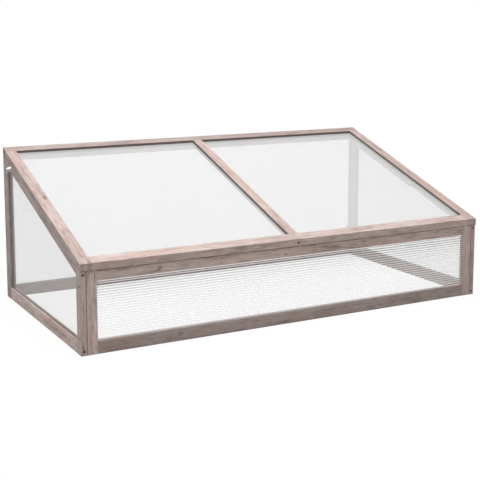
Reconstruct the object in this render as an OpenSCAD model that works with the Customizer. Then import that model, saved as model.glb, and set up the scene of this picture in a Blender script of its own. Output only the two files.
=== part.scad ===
// Cold frame: a low timber box with clear twin-wall sides and one sloping, hinged lid.
// The front faces -Y, the length lies along X, and the origin is on the ground at the middle.
// All lengths are in millimetres.

/* [Body] */
// Length over the two side frames
frame_l = 1100; // [800:10:1400]
// Depth of the body, front face to back face
frame_d = 572; // [500:1:700]
// Height of the body at its front face, up to the lid's underside
front_h = 188.5; // [160:0.5:230]
// Height of the body at its back face, up to the lid's underside
back_h = 380; // [330:0.5:430]

/* [Battens] */
// Thickness of the body's battens
batten_t = 14; // [13:0.5:18]
// Width of the front posts and stiles and of the front top rail
batten_w = 25; // [24:0.5:30]
// Width of the back top rail
back_top_w = 18; // [17:0.5:30]
// Width of the rear posts
rear_w = 36; // [30:0.5:42]
// Depth of the shoulder that carries a sloping rail in its rear post's front edge
shoulder = 12.5; // [10:0.5:16]
// Height of the bottom rails
bottom_w = 30; // [26:0.5:40]
// Width of the sloping rails of the side frames
slope_w = 18; // [17:0.5:24]
// Bevel that eases each long edge
ease = 0.8; // [0.3:0.1:1.2]

/* [Twin-wall panes] */
// Thickness of a pane
pane_t = 4; // [3.5:0.5:5]
// Distance between two webs of a pane
flute_pitch = 6; // [5:0.5:10]
// Thickness of a pane's two skins
skin_t = 0.5; // [0.4:0.1:0.8]
// Thickness of a pane's webs
web_t = 0.5; // [0.4:0.1:0.8]
// Depth of the grooves that hold the panes
groove_d = 6; // [5:0.5:7]
// Depth of the lid's panes below its top faces
lid_recess = 7; // [5:0.5:8]

/* [Lid] */
// Thickness of the lid's battens
lid_t = 16; // [15:0.5:20]
// Width of the lid's side rails and front rail
lid_w = 28; // [24:0.5:34]
// Width of the lid's back rail and middle bar
lid_bar_w = 26; // [24:0.5:32]
// Overhang of the lid's lower front edge past the body
lid_over = 2; // [0:0.5:6]

/* [Hinges] */
// Length of a hinge
hinge_l = 60; // [50:1:80]
// Width of a hinge leaf, from the pin's axis to its edge
leaf_w = 13; // [11:0.5:14]
// Thickness of a hinge leaf
leaf_t = 1.5; // [1:0.1:2]
// Diameter of the knuckles
knuckle_d = 6.4; // [5.6:0.2:8]
// Diameter of the hinge pins
hinge_pin_d = 3; // [2.5:0.1:3.5]
// Number of knuckles, shared out between the two leaves
knuckles = 5; // [3:2:7]
// Distance from the end of the body to the middle of a hinge
hinge_inset = 200; // [120:5:300]

/* [Props] */
// Length of a prop, from its pivot to its free end
prop_l = 270; // [200:5:300]
// Width of a prop
prop_w = 14; // [12:0.5:15]
// Thickness of a prop
prop_t = 9; // [7:0.5:9.5]
// Distance of the prop's bolt from the body's back face
prop_back = 66; // [62:1:90]
// Distance of the prop's upper edge below the closed lid's seat
prop_low = 1.5; // [1:0.1:1.8]
// Diameter of the prop's bolt
bolt_d = 5; // [4.5:0.5:6]
// Diameter of the bolt's domed head
bolt_head_d = 13; // [11:0.5:14]
// Height of the bolt's domed head
bolt_head_h = 3; // [2.5:0.1:3.5]
// Length of the bolt's end past the wing nut
bolt_end = 3; // [1:0.5:5]
// Outer diameter of the washer
washer_d = 13; // [11:0.5:15]
// Thickness of the washer
washer_t = 1.2; // [0.8:0.1:1.6]
// Height of the wing nut's boss
nut_h = 6.5; // [5:0.5:8]
// Diameter of the wing nut's boss at its foot
nut_d = 10.5; // [9:0.5:12]
// Span over the wing nut's two wings
wing_span = 25; // [22:0.5:28]
// Thickness of a wing
wing_t = 2.2; // [1.6:0.1:3]

/* [Screws] */
// Core diameter of the timber screws
screw_d = 3; // [2.5:0.1:3.2]
// Diameter of the timber screws' heads
screw_head_d = 6.6; // [6:0.1:7.4]
// Length of a screw past the first piece, into a rail's end
screw_bite = 22; // [15:1:30]
// Length of a corner screw past the side frame, into a stile
corner_bite = 14; // [10:0.5:15]
// Depth of a screw's head below the timber's face
screw_sink = 1.2; // [0.5:0.1:2]
// Core diameter of the hinge screws
hinge_screw_d = 2.4; // [2:0.1:2.6]
// Length of the hinge screws
hinge_screw_l = 12; // [8:0.5:13]
// Diameter of the hinge screws' heads
hinge_screw_head_d = 4.8; // [4.4:0.1:5.2]
// Height of the screws into the side frames' bottom rails
low_screw = 9; // [8:0.5:11]
// Height of the screws into the back frame's bottom rail
high_screw = 21; // [19:0.5:22]
// Height of the lower screw into a front stile
corner_low = 37; // [35:1:60]
// Distance of the upper screws into a front stile below the lid
corner_top = 35; // [32:1:50]

/* [Fits] */
// Clearance on each side of a pane in its groove
pane_fit = 0.2; // [0.1:0.05:0.3]
// Gap between a pane's edge and the bottom of its groove
pane_gap = 0.8; // [0.3:0.1:0.9]
// Clearance on each side of a rail's tongue
tongue_fit = 0.1; // [0.05:0.05:0.2]
// Gap between the end of a tongue and the bottom of its groove
tongue_gap = 0.5; // [0.3:0.1:0.9]
// Gap between the closed lid and the body
lid_gap = 0.3; // [0.2:0.05:0.5]
// Radial clearance of a pin or a bolt in its hole
run_fit = 0.05; // [0.02:0.01:0.1]
// Gap between pieces that turn past each other
side_gap = 0.3; // [0.2:0.05:0.4]

/* [Hidden] */
$fn = 48;
cut = 1;                                   // how far a cutting tool runs past a face
screw_head_h = (screw_head_d - screw_d) / 2;
hinge_head_h = (hinge_screw_head_d - hinge_screw_d) / 2;
tip_h = 4;                                 // length of a timber screw's point
hinge_tip_h = 2;                           // length of a hinge screw's point
cross_w = 0.9;                             // width of the driving cross in a screw's head
dome_steps = 6;                            // bands in a domed head
cross_share = 0.62;                        // span of that cross as a share of the head
wing_turn = 90;                            // turn of the wing nuts at rest, with their ears upright
nut_taper = 0.8;                           // a wing nut's outer end as a share of its foot
ear_foot = 0.8;                            // height at which a wing nut's ears begin
ear_root = [0.3, 0.45];                    // where the ears leave the boss, as shares of its foot
ear_lean = 0.7;                            // where an ear's sides meet its round end, in radii

slope = atan((back_h - front_h) / frame_d);
knuckle_r = knuckle_d / 2;
hinge_off = knuckle_r + side_gap;          // from a leaf's seat to the pin's axis
hinge_out = hinge_off + knuckle_r;         // how far the barrel stands behind the body
overall_d = lid_over + frame_d + hinge_out;
front_y = lid_over - overall_d / 2;        // front face of the body
back_y = front_y + frame_d;                // back face of the body
inner_x = frame_l / 2 - batten_t;          // inner faces of the side frames
panel_l = 2 * inner_x;                     // length of the front and back frames
side_x = frame_l / 2 - batten_t / 2;       // middle plane of a side frame

groove_w = pane_t + 2 * pane_fit;
tongue_t = groove_w - 2 * tongue_fit;
tongue_l = groove_d - tongue_gap;
pane_in = groove_d - pane_gap;             // how far a pane reaches into its groove
mid_t = batten_t / 2;                      // middle of a batten's thickness

lid_z = back_h + lid_gap / cos(slope);     // the lid's lower back edge
lid_s = (frame_d + lid_over) / cos(slope); // length of the lid along its slope
lid_groove = lid_t - lid_recess - pane_t / 2; // middle of the lid's grooves
plumb_run = lid_t * tan(slope);            // how far a plumb end runs over the lid's thickness
lid_y0 = lid_w + plumb_run - lid_s;        // inner edge of the lid's front rail
lid_y1 = plumb_run - lid_bar_w;            // inner edge of the lid's back rail
hinge_x = frame_l / 2 - hinge_inset;
hinge_y = back_y + hinge_off;
hinge_z = (back_h + lid_z) / 2;

prop_drop = prop_low + prop_w / 2;         // from the lid's seat to the prop's bolt
prop_y = back_y - prop_back;
prop_z = lid_at(prop_y) - prop_drop / cos(slope);
bolt_l = 2 * side_gap + prop_t + batten_t + washer_t + nut_h + bolt_end;

front_top_z = front_h - batten_w;          // lower edge of the front top rail
back_top_z = back_h - back_top_w;          // lower edge of the back top rail

// Height of the lid's seat at a distance y along the depth
function lid_at(y) = front_h + (y - front_y) * tan(slope);

// ---------- colours ----------

module timber() color([0.60, 0.53, 0.49]) children();
module clear_sheet() color([0.90, 0.92, 0.93, 0.6]) children();
module steel() color([0.72, 0.72, 0.72]) children();

// ---------- battens ----------

// Cross-section of a batten: width w along x, thickness t along y, long edges eased.
// groove_lo and groove_hi cut a pane's groove into the edge at x = 0 and at x = w.
module batten_2d(w, t, groove_lo, groove_hi, groove_y) {
    difference() {
        polygon([[ease, 0], [w - ease, 0], [w, ease], [w, t - ease],
                 [w - ease, t], [ease, t], [0, t - ease], [0, ease]]);
        if (groove_lo) {
            translate([-cut, groove_y - groove_w / 2])
                square([groove_d + cut, groove_w]);
        }
        if (groove_hi) {
            translate([w - groove_d, groove_y - groove_w / 2])
                square([groove_d + cut, groove_w]);
        }
    }
}

// A batten of the body that lies along X: width up, thickness along Y, a tongue at each end
module rail_x(l, w, groove_lo = false, groove_hi = false) {
    rotate([90, 0, 90])
        linear_extrude(l)
            mirror([1, -1, 0])
                batten_2d(w, batten_t, groove_lo, groove_hi, mid_t);
    for (x = [-tongue_l, l]) {
        translate([x, mid_t - tongue_t / 2, groove_lo ? groove_d : 0])
            cube([tongue_l, tongue_t, w - groove_d]);
    }
}

// An upright batten of the front frame: width along X, thickness along Y
module stile_z(h, w, groove_lo, groove_hi) {
    linear_extrude(h)
        batten_2d(w, batten_t, groove_lo, groove_hi, mid_t);
}

// An upright batten of a side frame: width along Y, thickness along X
module post_z(h, w, groove_lo, groove_hi) {
    linear_extrude(h)
        mirror([1, -1, 0])
            batten_2d(w, batten_t, groove_lo, groove_hi, mid_t);
}

// A batten of the body that lies along Y: width up, thickness along X
module bar_y(l, w, groove_lo = false, groove_hi = false) {
    translate([0, l, 0])
        rotate([90, 0, 0])
            linear_extrude(l)
                mirror([1, -1, 0])
                    batten_2d(w, batten_t, groove_lo, groove_hi, mid_t);
}

// Everything below the lid's seat, to cut the tops of the body's battens to the slope
module under_lid() {
    translate([-frame_l / 2 - cut, 0, 0])
        rotate([90, 0, 90])
            linear_extrude(frame_l + 2 * cut)
                polygon([[front_y - cut, -cut], [back_y + cut, -cut],
                         [back_y + cut, lid_at(back_y + cut)], [front_y - cut, lid_at(front_y - cut)]]);
}

// ---------- twin-wall sheet ----------

// Cross-section of a sheet: width along x, thickness along y, one hole for each flute
module sheet_2d(w) {
    flutes = floor((w - web_t) / flute_pitch);
    edge = (w - (flutes - 1) * flute_pitch) / 2;
    difference() {
        square([w, pane_t]);
        for (i = [0 : flutes - 1]) {
            translate([edge + i * flute_pitch - (flute_pitch - web_t) / 2, skin_t])
                square([flute_pitch - web_t, pane_t - 2 * skin_t]);
        }
    }
}

// ---------- screws ----------

// A countersunk screw that points along -Z, with the timber's face at z = 0
module screw(l, d, head_d, head_h, sink, point_h) {
    difference() {
        rotate_extrude()
            polygon([[0, -sink], [head_d / 2, -sink], [d / 2, -sink - head_h],
                     [d / 2, point_h - l], [0, -l]]);
        for (turn = [0, 90]) {
            rotate(turn)
                translate([-cross_share * head_d / 2, -cross_w / 2, -sink - head_h / 2])
                    cube([cross_share * head_d, cross_w, head_h]);
        }
    }
}

// The hole that the screw sits in, open at the timber's face
module screw_hole(l, d, head_d, head_h, sink) {
    r = d / 2 + run_fit;
    head_r = head_d / 2 + run_fit;
    rotate_extrude()
        polygon([[0, cut], [head_r, cut], [head_r, -sink], [r, -sink - head_h],
                 [r, -l - run_fit], [0, -l - run_fit]]);
}

module timber_screw(first) {
    screw(first + screw_bite, screw_d, screw_head_d, screw_head_h, screw_sink, tip_h);
}

module timber_screw_hole(first) {
    screw_hole(first + screw_bite, screw_d, screw_head_d, screw_head_h, screw_sink);
}

// Screws through the posts' front and back faces into the ends of the side frames' rails
module at_end_screws(y, turn, places) {
    for (x = [-side_x, side_x]) {
        for (p = places) {
            translate([x, y, p[0]])
                rotate([turn + p[1], 0, 0])
                    children();
        }
    }
}

module at_front_end_screws() {
    at_end_screws(front_y, 90, [[low_screw, 0], [front_h - slope_w / 2 / cos(slope), slope]])
        children();
}

module at_rear_end_screws() {
    at_end_screws(back_y, -90, [[low_screw, 0]])
        children();
}

// Screws down through the sloping rails into the shoulders of the rear posts
module at_shoulder_screws() {
    y = back_y - rear_w + shoulder / 2;
    for (x = [-side_x, side_x]) {
        translate([x, y, lid_at(y)])
            rotate([slope, 0, 0])
                children();
    }
}

// Screws through the side frames into the front stiles
module at_stile_screws() {
    for (side = [-1, 1]) {
        for (z = [corner_low, front_h - corner_top]) {
            translate([side * frame_l / 2, front_y + mid_t, z])
                rotate([0, side * 90, 0])
                    children();
        }
    }
}

// Screws through the rear posts into the ends of the back frame's rails
module at_back_rail_screws() {
    for (side = [-1, 1]) {
        for (z = [high_screw, back_h - back_top_w / 2]) {
            translate([side * frame_l / 2, back_y - mid_t, z])
                rotate([0, side * 90, 0])
                    children();
        }
    }
}

// Screws through the stiles' outer edges into the ends of the front frame's rails
module at_front_rail_screws() {
    for (side = [-1, 1]) {
        for (z = [bottom_w / 2, front_h - batten_w / 2]) {
            translate([side * inner_x, front_y + mid_t, z])
                rotate([0, side * 90, 0])
                    children();
        }
    }
}

module side_frame_holes() {
    at_front_end_screws() timber_screw_hole(batten_w);
    at_rear_end_screws() timber_screw_hole(rear_w);
    at_shoulder_screws() timber_screw_hole(slope_w);
}

module corner_holes() {
    at_stile_screws()
        screw_hole(batten_t + corner_bite, screw_d, screw_head_d, screw_head_h, screw_sink);
    at_back_rail_screws() timber_screw_hole(batten_t);
}

module front_rail_holes() {
    at_front_rail_screws() timber_screw_hole(batten_w);
}

module side_frame_screws() steel() {
    at_front_end_screws() timber_screw(batten_w);
    at_rear_end_screws() timber_screw(rear_w);
    at_shoulder_screws() timber_screw(slope_w);
}

module corner_screws() steel() {
    at_stile_screws()
        screw(batten_t + corner_bite, screw_d, screw_head_d, screw_head_h, screw_sink, tip_h);
    at_back_rail_screws() timber_screw(batten_t);
}

module front_rail_screws() steel() {
    at_front_rail_screws() timber_screw(batten_w);
}

// ---------- side frames, drawn on the left ----------

rail_y0 = front_y + batten_w;              // the rails lie between the two posts
rail_y1 = back_y - rear_w;
rail_l = rail_y1 - rail_y0;

module front_post() timber() difference() {
    intersection() {
        translate([-frame_l / 2, front_y, 0])
            post_z(back_h, batten_w, false, true);
        under_lid();
    }
    side_frame_holes();
    corner_holes();
}

// The rear post also has a groove in its inner face, for the back frame
module rear_post() timber() difference() {
    intersection() {
        translate([-frame_l / 2, rail_y1, 0])
            post_z(back_h + cut, rear_w, true, false);
        under_lid();
    }
    translate([-inner_x - groove_d, back_y - mid_t - groove_w / 2, -cut])
        cube([groove_d + cut, groove_w, back_h + 2 * cut]);
    intersection() {
        above_slope_rail();
        between(rail_y1 - cut, rail_y1 + shoulder);
    }
    side_frame_holes();
    corner_holes();
}

// The side frame's bottom rail, with a tongue in each post's groove
module bottom_rail() timber() difference() {
    union() {
        translate([-frame_l / 2, rail_y0, 0])
            bar_y(rail_l, bottom_w, false, true);
        for (y = [rail_y0 - tongue_l, rail_y1]) {
            translate([-side_x - tongue_t / 2, y, 0])
                cube([tongue_t, tongue_l, bottom_w - groove_d]);
        }
    }
    side_frame_holes();
}

// Room between two upright planes, to cut the sloping rail plumb at its ends
module between(y0, y1) {
    translate([-frame_l, y0, 0])
        cube([2 * frame_l, y1 - y0, 2 * back_h]);
}

// Places a bar of width w so that its top lies in the lid's seat, from the front upwards
module along_slope(w) {
    translate([-frame_l / 2, front_y, front_h])
        rotate([slope, 0, 0])
            translate([0, -batten_w, -w])
                children();
}

// The room of the sloping rail and all above it, which the rear post's shoulder leaves free
module above_slope_rail() {
    along_slope(slope_w)
        translate([-cut, 0, 0])
            cube([batten_t + 2 * cut, lid_s + 2 * batten_w, 2 * slope_w]);
}

// The sloping rail has a tongue in the front post, and lies on the rear post's shoulder
module slope_rail() timber() difference() {
    union() {
        intersection() {
            along_slope(slope_w)
                bar_y(lid_s + 2 * batten_w, slope_w, true, false);
            between(rail_y0, rail_y1 + shoulder);
        }
        intersection() {
            along_slope(slope_w)
                translate([mid_t - tongue_t / 2, 0, groove_d])
                    cube([tongue_t, lid_s, slope_w - groove_d]);
            between(rail_y0 - tongue_l, rail_y0 + cut);
        }
    }
    side_frame_holes();
    prop_bolt_hole();
}

// A side pane's flutes lie along Y
module side_pane() clear_sheet() intersection() {
    pane_z0 = bottom_w - pane_in;
    translate([-side_x - pane_t / 2, rail_y1 + pane_in, pane_z0])
        rotate([90, 0, 0])
            linear_extrude(rail_l + 2 * pane_in)
                mirror([1, -1, 0])
                    sheet_2d(back_h - pane_z0);
    translate([0, 0, -(slope_w - pane_in) / cos(slope)])
        under_lid();
}

module left_front_post() front_post();
module left_rear_post() rear_post();
module left_bottom_rail() bottom_rail();
module left_slope_rail() slope_rail();
module left_pane() side_pane();

module right_front_post() mirror([1, 0, 0]) front_post();
module right_rear_post() mirror([1, 0, 0]) rear_post();
module right_bottom_rail() mirror([1, 0, 0]) bottom_rail();
module right_slope_rail() mirror([1, 0, 0]) slope_rail();
module right_pane() mirror([1, 0, 0]) side_pane();

// ---------- front and back frames ----------

module front_stile() timber() difference() {
    intersection() {
        translate([-inner_x, front_y, 0])
            stile_z(back_h, batten_w, false, true);
        under_lid();
    }
    corner_holes();
    front_rail_holes();
}

module front_left_stile() front_stile();
module front_right_stile() mirror([1, 0, 0]) front_stile();

module front_bottom_rail() timber() difference() {
    translate([-inner_x + batten_w, front_y, 0])
        rail_x(panel_l - 2 * batten_w, bottom_w, groove_hi = true);
    front_rail_holes();
}

// The back frame's rails have their tongues in the rear posts
module back_bottom_rail() timber() difference() {
    translate([-inner_x, back_y - batten_t, 0])
        rail_x(panel_l, bottom_w, groove_hi = true);
    corner_holes();
}

// A top rail, inset from the side frames, is cut from a wider batten and planed to the slope
module top_rail(inset, y, z, w) {
    intersection() {
        translate([inset - inner_x, y, z])
            rail_x(panel_l - 2 * inset, w + batten_t, groove_lo = true);
        under_lid();
    }
}

module front_top_rail() timber() difference() {
    top_rail(batten_w, front_y, front_top_z, batten_w);
    front_rail_holes();
}

module back_top_rail() timber() difference() {
    top_rail(0, back_y - batten_t, back_top_z, back_top_w);
    corner_holes();
    at_hinges() leaf_screw_holes();
}

// A pane whose flutes lie along X, between a bottom rail and a top rail
module flat_pane(inset, y, top_z) {
    l = panel_l - 2 * inset + 2 * pane_in;
    translate([-l / 2, y + mid_t - pane_t / 2, bottom_w - pane_in])
        rotate([90, 0, 90])
            linear_extrude(l)
                mirror([1, -1, 0])
                    sheet_2d(top_z - bottom_w + 2 * pane_in);
}

module front_pane() clear_sheet() flat_pane(batten_w, front_y, front_top_z);
module back_pane() clear_sheet() flat_pane(0, back_y - batten_t, back_top_z);

// ---------- lid, drawn flat and then laid on its slope ----------
// In the lid's own frame y runs up the slope to its lower back edge at 0, and z is square to it.
// Its front and back ends are cut plumb, so that the hinges lie flat on its back.

lid_bay = (frame_l - 2 * lid_w - lid_bar_w) / 2; // width of a pane's opening
lid_bar_l = lid_y1 - lid_y0;               // length of a pane's opening
lid_rail_l = frame_l - 2 * lid_w;

module on_slope() {
    translate([0, back_y, lid_z])
        rotate([slope, 0, 0])
            children();
}

// The room between the lid's two plumb ends
module between_ends() {
    between(front_y - lid_over, back_y);
}

// A batten of the lid that lies along X, from x0, between y0 and y1
module lid_rail_x(x0, l, y0, y1, groove_lo, groove_hi) {
    translate([x0, y0, 0])
        rotate([90, 0, 90])
            linear_extrude(l)
                batten_2d(y1 - y0, lid_t, groove_lo, groove_hi, lid_groove);
}

// A batten of the lid that lies along the slope, from x0, between y0 and y1
module lid_bar_y(x0, w, y0, y1, groove_lo, groove_hi) {
    translate([x0, y1, 0])
        rotate([90, 0, 0])
            linear_extrude(y1 - y0)
                batten_2d(w, lid_t, groove_lo, groove_hi, lid_groove);
}

// A tongue in the grooves' plane
module lid_tongue(x0, x1, y0, y1) {
    translate([x0, y0, lid_groove - tongue_t / 2])
        cube([x1 - x0, y1 - y0, tongue_t]);
}

// Screws through the side rails' outer edges into the front rail's ends
module at_lid_side_screws() {
    for (side = [-1, 1]) {
        translate([side * frame_l / 2, lid_y0 - lid_w / 2, lid_groove])
            rotate([0, side * 90, 0])
                children();
    }
}

// Screw through the front rail into the middle bar, along the slope
module at_lid_front_screw() {
    translate([0, lid_groove * tan(slope) - lid_s, lid_groove])
        rotate([90, 0, 0])
            children();
}

// Screws through the back rail into the side rails and the middle bar, along the slope
module at_lid_back_screws() {
    for (x = [lid_w / 2 - frame_l / 2, 0, frame_l / 2 - lid_w / 2]) {
        translate([x, lid_groove * tan(slope), lid_groove])
            rotate([-90, 0, 0])
                children();
    }
}

module lid_holes() {
    at_lid_side_screws() timber_screw_hole(lid_w);
    at_lid_front_screw() timber_screw_hole(lid_w);
    at_lid_back_screws() timber_screw_hole(lid_bar_w);
}

module lid_side_rail() timber() intersection() {
    on_slope() difference() {
        union() {
            lid_bar_y(-frame_l / 2, lid_w, -lid_s, lid_y1, false, true);
            lid_tongue(-frame_l / 2, lid_w - groove_d - frame_l / 2, lid_y1, lid_y1 + tongue_l);
        }
        lid_holes();
    }
    between_ends();
}

module lid_left_rail() lid_side_rail();
module lid_right_rail() mirror([1, 0, 0]) lid_side_rail();

module lid_front_rail() timber() intersection() {
    on_slope() difference() {
        union() {
            lid_rail_x(-lid_rail_l / 2, lid_rail_l, -lid_s, lid_y0, false, true);
            lid_tongue(-lid_rail_l / 2 - tongue_l, lid_rail_l / 2 + tongue_l, -lid_s, lid_y0 - groove_d);
        }
        lid_holes();
    }
    between_ends();
}

// The back rail runs over the side rails' ends
module lid_back_rail() timber() difference() {
    intersection() {
        on_slope() difference() {
            lid_rail_x(-frame_l / 2, frame_l, lid_y1, plumb_run + ease, true, false);
            lid_holes();
        }
        between_ends();
    }
    at_hinges() mirror([0, 0, 1]) leaf_screw_holes();
}

module lid_mid_bar() timber() on_slope() difference() {
    union() {
        lid_bar_y(-lid_bar_w / 2, lid_bar_w, lid_y0, lid_y1, true, true);
        lid_tongue(groove_d - lid_bar_w / 2, lid_bar_w / 2 - groove_d, lid_y0 - tongue_l, lid_y1 + tongue_l);
    }
    lid_holes();
}

// A lid pane's flutes lie along X
module lid_pane() clear_sheet() on_slope() {
    translate([lid_w - pane_in - frame_l / 2, lid_y0 - pane_in, lid_groove - pane_t / 2])
        rotate([90, 0, 90])
            linear_extrude(lid_bay + 2 * pane_in)
                sheet_2d(lid_bar_l + 2 * pane_in);
}

module lid_left_pane() lid_pane();
module lid_right_pane() mirror([1, 0, 0]) lid_pane();

module lid_screws() steel() on_slope() {
    at_lid_side_screws() timber_screw(lid_w);
    at_lid_front_screw() timber_screw(lid_w);
    at_lid_back_screws() timber_screw(lid_bar_w);
}

// ---------- hinges ----------

knuckle_l = (hinge_l - (knuckles - 1) * side_gap) / knuckles;
knuckle_step = knuckle_l + side_gap;
leaf_edge = knuckle_r + side_gap;          // where a leaf's plate ends, clear of the barrel
hinge_screw_x = hinge_l / 2 - hinge_l / 5;
hinge_screw_at = (leaf_w + leaf_edge) / 2;

// One leaf: its pin lies along X at the origin, its plate hangs down on a seat at y = -hinge_off.
// first is 0 for the leaf that has the two end knuckles, and 1 for the other leaf.
module leaf(first) {
    difference() {
        union() {
            translate([-hinge_l / 2, -hinge_off, -leaf_w])
                cube([hinge_l, leaf_t, leaf_w - leaf_edge]);
            for (i = [first : 2 : knuckles - 1]) {
                translate([i * knuckle_step - hinge_l / 2, 0, 0]) {
                    rotate([0, 90, 0])
                        cylinder(d = knuckle_d, h = knuckle_l);
                    translate([0, -hinge_off, -leaf_w])
                        cube([knuckle_l, leaf_t, leaf_w]);
                }
            }
        }
        translate([-hinge_l / 2 - cut, 0, 0])
            rotate([0, 90, 0])
                cylinder(d = hinge_pin_d + 2 * run_fit, h = hinge_l + 2 * cut);
        leaf_screw_holes();
    }
}

module at_leaf_screws() {
    for (x = [-hinge_screw_x, hinge_screw_x]) {
        translate([x, leaf_t - hinge_off, -hinge_screw_at])
            rotate([-90, 0, 0])
                children();
    }
}

module leaf_screw_holes() {
    at_leaf_screws()
        screw_hole(hinge_screw_l, hinge_screw_d, hinge_screw_head_d, hinge_head_h, 0);
}

module leaf_screws() {
    at_leaf_screws()
        screw(hinge_screw_l, hinge_screw_d, hinge_screw_head_d, hinge_head_h, 0, hinge_tip_h);
}

module at_hinge(side) {
    translate([side * hinge_x, hinge_y, hinge_z])
        children();
}

module at_hinges() {
    at_hinge(-1) children();
    at_hinge(1) children();
}

module body_leaf(side) steel() at_hinge(side) leaf(0);

// The lid's leaf is turned over, on the lid's plumb back
module lid_leaf(side) steel() at_hinge(side) mirror([0, 0, 1]) leaf(1);

module hinge_pin(side) steel() at_hinge(side) {
    translate([-hinge_l / 2, 0, 0])
        rotate([0, 90, 0])
            cylinder(d = hinge_pin_d, h = hinge_l);
}

module left_hinge_body_leaf() body_leaf(-1);
module right_hinge_body_leaf() body_leaf(1);
module left_hinge_lid_leaf() lid_leaf(-1);
module right_hinge_lid_leaf() lid_leaf(1);
module left_hinge_pin() hinge_pin(-1);
module right_hinge_pin() hinge_pin(1);
module hinge_body_screws() steel() at_hinges() leaf_screws();
module hinge_lid_screws() steel() at_hinges() mirror([0, 0, 1]) leaf_screws();

// ---------- props, drawn on the left ----------

prop_x = -inner_x + side_gap;              // outer face of the prop
bolt_head_x = prop_x + prop_t + side_gap;  // underside of the bolt's head

module at_prop() {
    translate([0, prop_y, prop_z])
        rotate([slope, 0, 0])
            children();
}

module prop_bolt_hole() {
    at_prop()
        translate([-frame_l / 2 - cut, 0, 0])
            rotate([0, 90, 0])
                cylinder(d = bolt_d + 2 * run_fit, h = batten_t + 2 * cut);
}

// A flat stick with a round tail and a round-cornered free end
module prop() timber() at_prop() difference() {
    translate([prop_x, 0, 0])
        rotate([90, 0, 90])
            linear_extrude(prop_t) {
                circle(d = prop_w);
                translate([-prop_l + prop_w / 4, -prop_w / 2])
                    square([prop_l - prop_w / 4, prop_w]);
                translate([-prop_l, -prop_w / 4])
                    square([prop_w / 4 + cut, prop_w / 2]);
                for (z = [-prop_w / 4, prop_w / 4]) {
                    translate([-prop_l + prop_w / 4, z])
                        circle(d = prop_w / 2);
                }
            }
    translate([prop_x - cut, 0, 0])
        rotate([0, 90, 0])
            cylinder(d = bolt_d + 2 * run_fit, h = prop_t + 2 * cut);
}

// A bolt with a domed head on the inside, through the prop and the sloping rail
module prop_bolt() steel() at_prop() {
    dome_r = (bolt_head_d * bolt_head_d / 4 + bolt_head_h * bolt_head_h) / (2 * bolt_head_h);
    dome_turn = asin(bolt_head_d / 2 / dome_r);
    dome = [for (i = [0 : dome_steps]) let (a = dome_turn * (1 - i / dome_steps))
        [dome_r * sin(a), dome_r * cos(a) - dome_r + bolt_head_h]];
    translate([bolt_head_x - bolt_l, 0, 0])
        rotate([0, 90, 0])
            rotate_extrude()
                polygon(concat([[0, 0], [bolt_d / 2, 0], [bolt_d / 2, bolt_l]],
                               [for (p = dome) [p[0], p[1] + bolt_l]]));
}

module prop_washer() steel() at_prop() {
    translate([-frame_l / 2 - washer_t, 0, 0])
        rotate([0, 90, 0])
            difference() {
                cylinder(d = washer_d, h = washer_t);
                translate([0, 0, -cut])
                    cylinder(d = bolt_d + 2 * run_fit, h = washer_t + 2 * cut);
            }
}

// A wing nut: a tapered boss with two ears
module wing_nut() steel() {
    ear_r = wing_span / 6;
    ear_y = wing_span / 2 - ear_r;
    translate([-frame_l / 2 - washer_t - side_gap / 2, prop_y, prop_z])
        rotate([0, -90, 0])
            rotate(wing_turn)
                difference() {
                    union() {
                        cylinder(d1 = nut_d, d2 = nut_d * nut_taper, h = nut_h);
                        translate([wing_t / 2, 0, 0])
                            rotate([0, -90, 0])
                                linear_extrude(wing_t) {
                                    for (side = [-1, 1]) {
                                        translate([nut_h, side * ear_y])
                                            circle(r = ear_r);
                                        polygon([[ear_foot, side * nut_d * ear_root[0]],
                                                 [ear_foot, side * nut_d * ear_root[1]],
                                                 [nut_h - ear_r * ear_lean, side * (ear_y + ear_r * ear_lean)],
                                                 [nut_h + ear_r * ear_lean, side * (ear_y - ear_r * ear_lean)],
                                                 [nut_h * nut_taper, side * nut_d * ear_root[0]]]);
                                    }
                                }
                    }
                    translate([0, 0, -cut])
                        cylinder(d = bolt_d + 2 * run_fit, h = nut_h + ear_r + 2 * cut);
                }
}

module left_prop() prop();
module left_prop_bolt() prop_bolt();
module left_prop_washer() prop_washer();
module left_wing_nut() wing_nut();
module right_prop() mirror([1, 0, 0]) prop();
module right_prop_bolt() mirror([1, 0, 0]) prop_bolt();
module right_prop_washer() mirror([1, 0, 0]) prop_washer();
module right_wing_nut() mirror([1, 0, 0]) wing_nut();

left_front_post();
left_rear_post();
left_bottom_rail();
left_slope_rail();
left_pane();
right_front_post();
right_rear_post();
right_bottom_rail();
right_slope_rail();
right_pane();
front_left_stile();
front_right_stile();
front_top_rail();
front_bottom_rail();
front_pane();
back_top_rail();
back_bottom_rail();
back_pane();
side_frame_screws();
corner_screws();
front_rail_screws();
lid_left_rail();
lid_right_rail();
lid_front_rail();
lid_back_rail();
lid_mid_bar();
lid_left_pane();
lid_right_pane();
lid_screws();
left_hinge_body_leaf();
left_hinge_lid_leaf();
left_hinge_pin();
right_hinge_body_leaf();
right_hinge_lid_leaf();
right_hinge_pin();
hinge_body_screws();
hinge_lid_screws();
left_prop();
left_prop_bolt();
left_prop_washer();
left_wing_nut();
right_prop();
right_prop_bolt();
right_prop_washer();
right_wing_nut();
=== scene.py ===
"""Looks of a timber cold frame: stained battens, twin-wall panes, hinges and prop fittings.

Everything is in metres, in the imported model's own frame: +X along the length, +Y to the
hinged back, +Z up, and the low front faces -Y.
"""
import logging
import math
from dataclasses import dataclass, field
from enum import Enum
from typing import Optional, Union

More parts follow.
